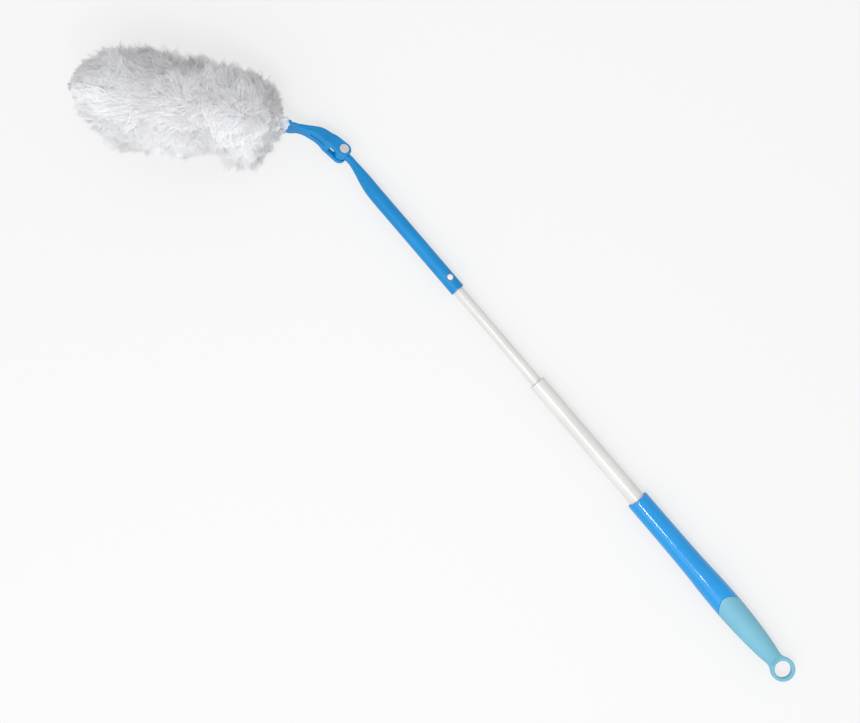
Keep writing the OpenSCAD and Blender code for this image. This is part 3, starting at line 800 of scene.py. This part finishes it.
def needle_mesh(name, stations, outward, width):
    """Thin three-sided closed fibres through the stations, soft in shading towards the refill's outward direction."""
    stations = [off_table(to_world(p), 0.0002) for p in stations]
    count = len(outward)
    ahead = unit(stations[-1] - stations[0])
    side = unit(np.cross(ahead, outward @ unit(FORK_R).T + 1e-4))
    other = np.cross(ahead, side)
    rings = []
    for p, share in zip(stations[:-1], (1.0, 0.85, 0.55)):
        for k in range(3):
            c, s = math.cos(TAU * k / 3), math.sin(TAU * k / 3)
            rings.append(p + (side * c + other * s) * (width * share)[:, None])
    verts = np.stack(rings + [stations[-1]], 1).reshape(-1, 3)
    pattern = []
    for ring_ in range(2):
        for k in range(3):
            i, j = ring_ * 3 + k, ring_ * 3 + (k + 1) % 3
            pattern += [(i, j, j + 3), (i, j + 3, i + 3)]
    pattern += [(6 + k, 6 + (k + 1) % 3, 9) for k in range(3)] + [(0, 2, 1)]
    pattern = np.array(pattern)
    faces = (pattern[None] + 10 * np.arange(count)[:, None, None]).reshape(-1, 3)
    mesh = bpy.data.meshes.new(name)
    mesh.vertices.add(len(verts))
    mesh.vertices.foreach_set("co", verts.ravel())
    mesh.loops.add(faces.size)
    mesh.loops.foreach_set("vertex_index", faces.ravel().astype(np.int32))
    mesh.polygons.add(len(faces))
    mesh.polygons.foreach_set("loop_start", np.arange(0, faces.size, 3, dtype=np.int32))
    mesh.update(calc_edges=True)
    mesh.validate()
    mesh.shade_smooth()
    radial = np.stack([side * math.cos(TAU * (k % 3) / 3) + other * math.sin(TAU * (k % 3) / 3) for k in range(9)]
                      + [ahead], 1)
    soft = unit(0.4 * radial + 0.85 * (outward @ unit(FORK_R).T)[:, None])
    mesh.normals_split_custom_set_from_vertices([tuple(v) for v in soft.reshape(-1, 3)])
    obj = bpy.data.objects.new(name, mesh)
    bpy.context.scene.collection.objects.link(obj)
    return obj


rng = np.random.default_rng(SEED)
paths, directions = fibre_paths(rng, TUFTS, FIBRES_PER_TUFT)
widths = rng.uniform(*FIBRE_RADIUS, len(directions))
order = np.argsort(paths[0][:, 0], kind="stable")
upper = paths[0][:, 1] > 0
for half_name, chosen in (("upper", order[upper[order]]), ("lower", order[~upper[order]])):
    for part, share in enumerate(np.array_split(chosen, MESHES_PER_HALF)):
        tufts = needle_mesh(
            f"fluff_{half_name}_{part + 1}", [p[share] for p in paths], directions[share], widths[share])
        fit_out(tufts, "refill", FIBRE)


def film_collar():
    """The mouth of the clear film pockets, which stands crumpled round the fork's shoulder."""
    n_along, n_round = 44, 120
    outer_skin, inner_skin = [], []
    for i in range(n_along):
        s = i / (n_along - 1)
        for skin_list, inset in ((outer_skin, 0.0), (inner_skin, 0.12)):
            pts = []
            for k in range(n_round):
                phi = TAU * k / n_round
                c, d = math.cos(phi), math.sin(phi)
                edge = 1.5 + 2.6 * noise.noise(Vector((c * 3.1, d * 3.1, 4.2)))
                x = edge + (17 - edge) * s
                wide = 12.6 + 2.4 * s
                tall = 4.9 + 2.2 * s
                fold = noise.noise(Vector((x * 0.16, c * 3.4, d * 3.4)))
                crease = 1 - abs(noise.noise(Vector((x * 0.3, c * 6.0, d * 6.0 + 9)))) * 3
                r = 1 + 0.18 * fold + 0.07 * crease
                r = max(r, 0.94)
                pts.append((x, tall * d * r - inset * d, wide * c * r - inset * c))
            skin_list.append(pts)
    rings = outer_skin + inner_skin[::-1]
    return shade(skin("film_collar", rings, METRES @ FORK, closed=True), 80)


collar = film_collar()
fit_out(collar, "refill", FILM)


# ---------------------------------------------------------------- floor, lights, camera
floor_mesh = bpy.data.meshes.new("floor")
floor_mesh.from_pydata([(-4, -4, 0), (5, -4, 0), (5, 5, 0), (-4, 5, 0)], [], [(0, 1, 2, 3)])
floor = bpy.data.objects.new("floor", floor_mesh)
floor.location = (0, 0, TABLE_Z * MM - 0.00005)
bpy.context.scene.collection.objects.link(floor)
floor_mat, _, floor_bsdf = base_material("pale_floor", 0.9, 0.1)
floor_bsdf.inputs["Base Color"].default_value = (0.22, 0.22, 0.22, 1)
floor_bsdf.inputs["Emission Color"].default_value = (1, 1, 1, 1)
floor_bsdf.inputs["Emission Strength"].default_value = 0.64
floor.data.materials.append(floor_mat)


def area_light(name, place_at, aim, size, size_y, energy, colour=(1, 1, 1)):
    data = bpy.data.lights.new(name, "AREA")
    data.shape, data.size, data.size_y = "RECTANGLE", size, size_y
    data.energy, data.color = energy, colour
    obj = bpy.data.objects.new(name, data)
    obj.location = place_at
    obj.rotation_euler = (Vector(aim) - Vector(place_at)).to_track_quat("-Z", "Y").to_euler()
    bpy.context.scene.collection.objects.link(obj)


area_light("key", (0.3, 0.44, 1.55), (0.4, 0.05, 0), 0.3, 0.3, 5)
area_light("streak", (-0.05, 0.45, 1.5), (0.2, 0, 0), 0.08, 0.3, 4)
area_light("side_fill", (0.05, 1.3, 1.5), (0.5, 0.1, 0), 1.8, 1.4, 9, (0.95, 0.975, 1.0))

world = bpy.data.worlds.new("studio")
world.use_nodes = True
sky = world.node_tree
sky.nodes["Background"].inputs["Color"].default_value = (1, 1, 1, 1)
sky_place = sky.nodes.new("ShaderNodeTexCoord")
sky_side = sky.nodes.new("ShaderNodeVectorMath")
sky_side.operation = "DOT_PRODUCT"
sky_side.inputs[1].default_value = (-0.25, 0.55, 0.8)
sky_level = sky.nodes.new("ShaderNodeMapRange")
sky_level.inputs["From Min"].default_value = -0.6
sky_level.inputs["From Max"].default_value = 0.5
sky_level.inputs["To Min"].default_value = 0.74
sky_level.inputs["To Max"].default_value = 0.98
sky.links.new(sky_place.outputs["Generated"], sky_side.inputs[0])
sky.links.new(sky_side.outputs["Value"], sky_level.inputs["Value"])
sky.links.new(sky_level.outputs["Result"], sky.nodes["Background"].inputs["Strength"])
bpy.context.scene.world = world
bpy.context.scene.view_settings.view_transform = "Standard"

camera_data = bpy.data.cameras.new("camera")
camera_data.sensor_fit, camera_data.sensor_width = "HORIZONTAL", 36
camera_data.lens = 57.64
camera = bpy.data.objects.new("camera", camera_data)
CAMERA_TURN = math.radians(-130.6)
camera.matrix_world = Matrix.Translation((0.4392, 0.0641, 1.3065)) @ Matrix.Rotation(CAMERA_TURN, 4, "Z")
bpy.context.scene.collection.objects.link(camera)
bpy.context.scene.camera = camera
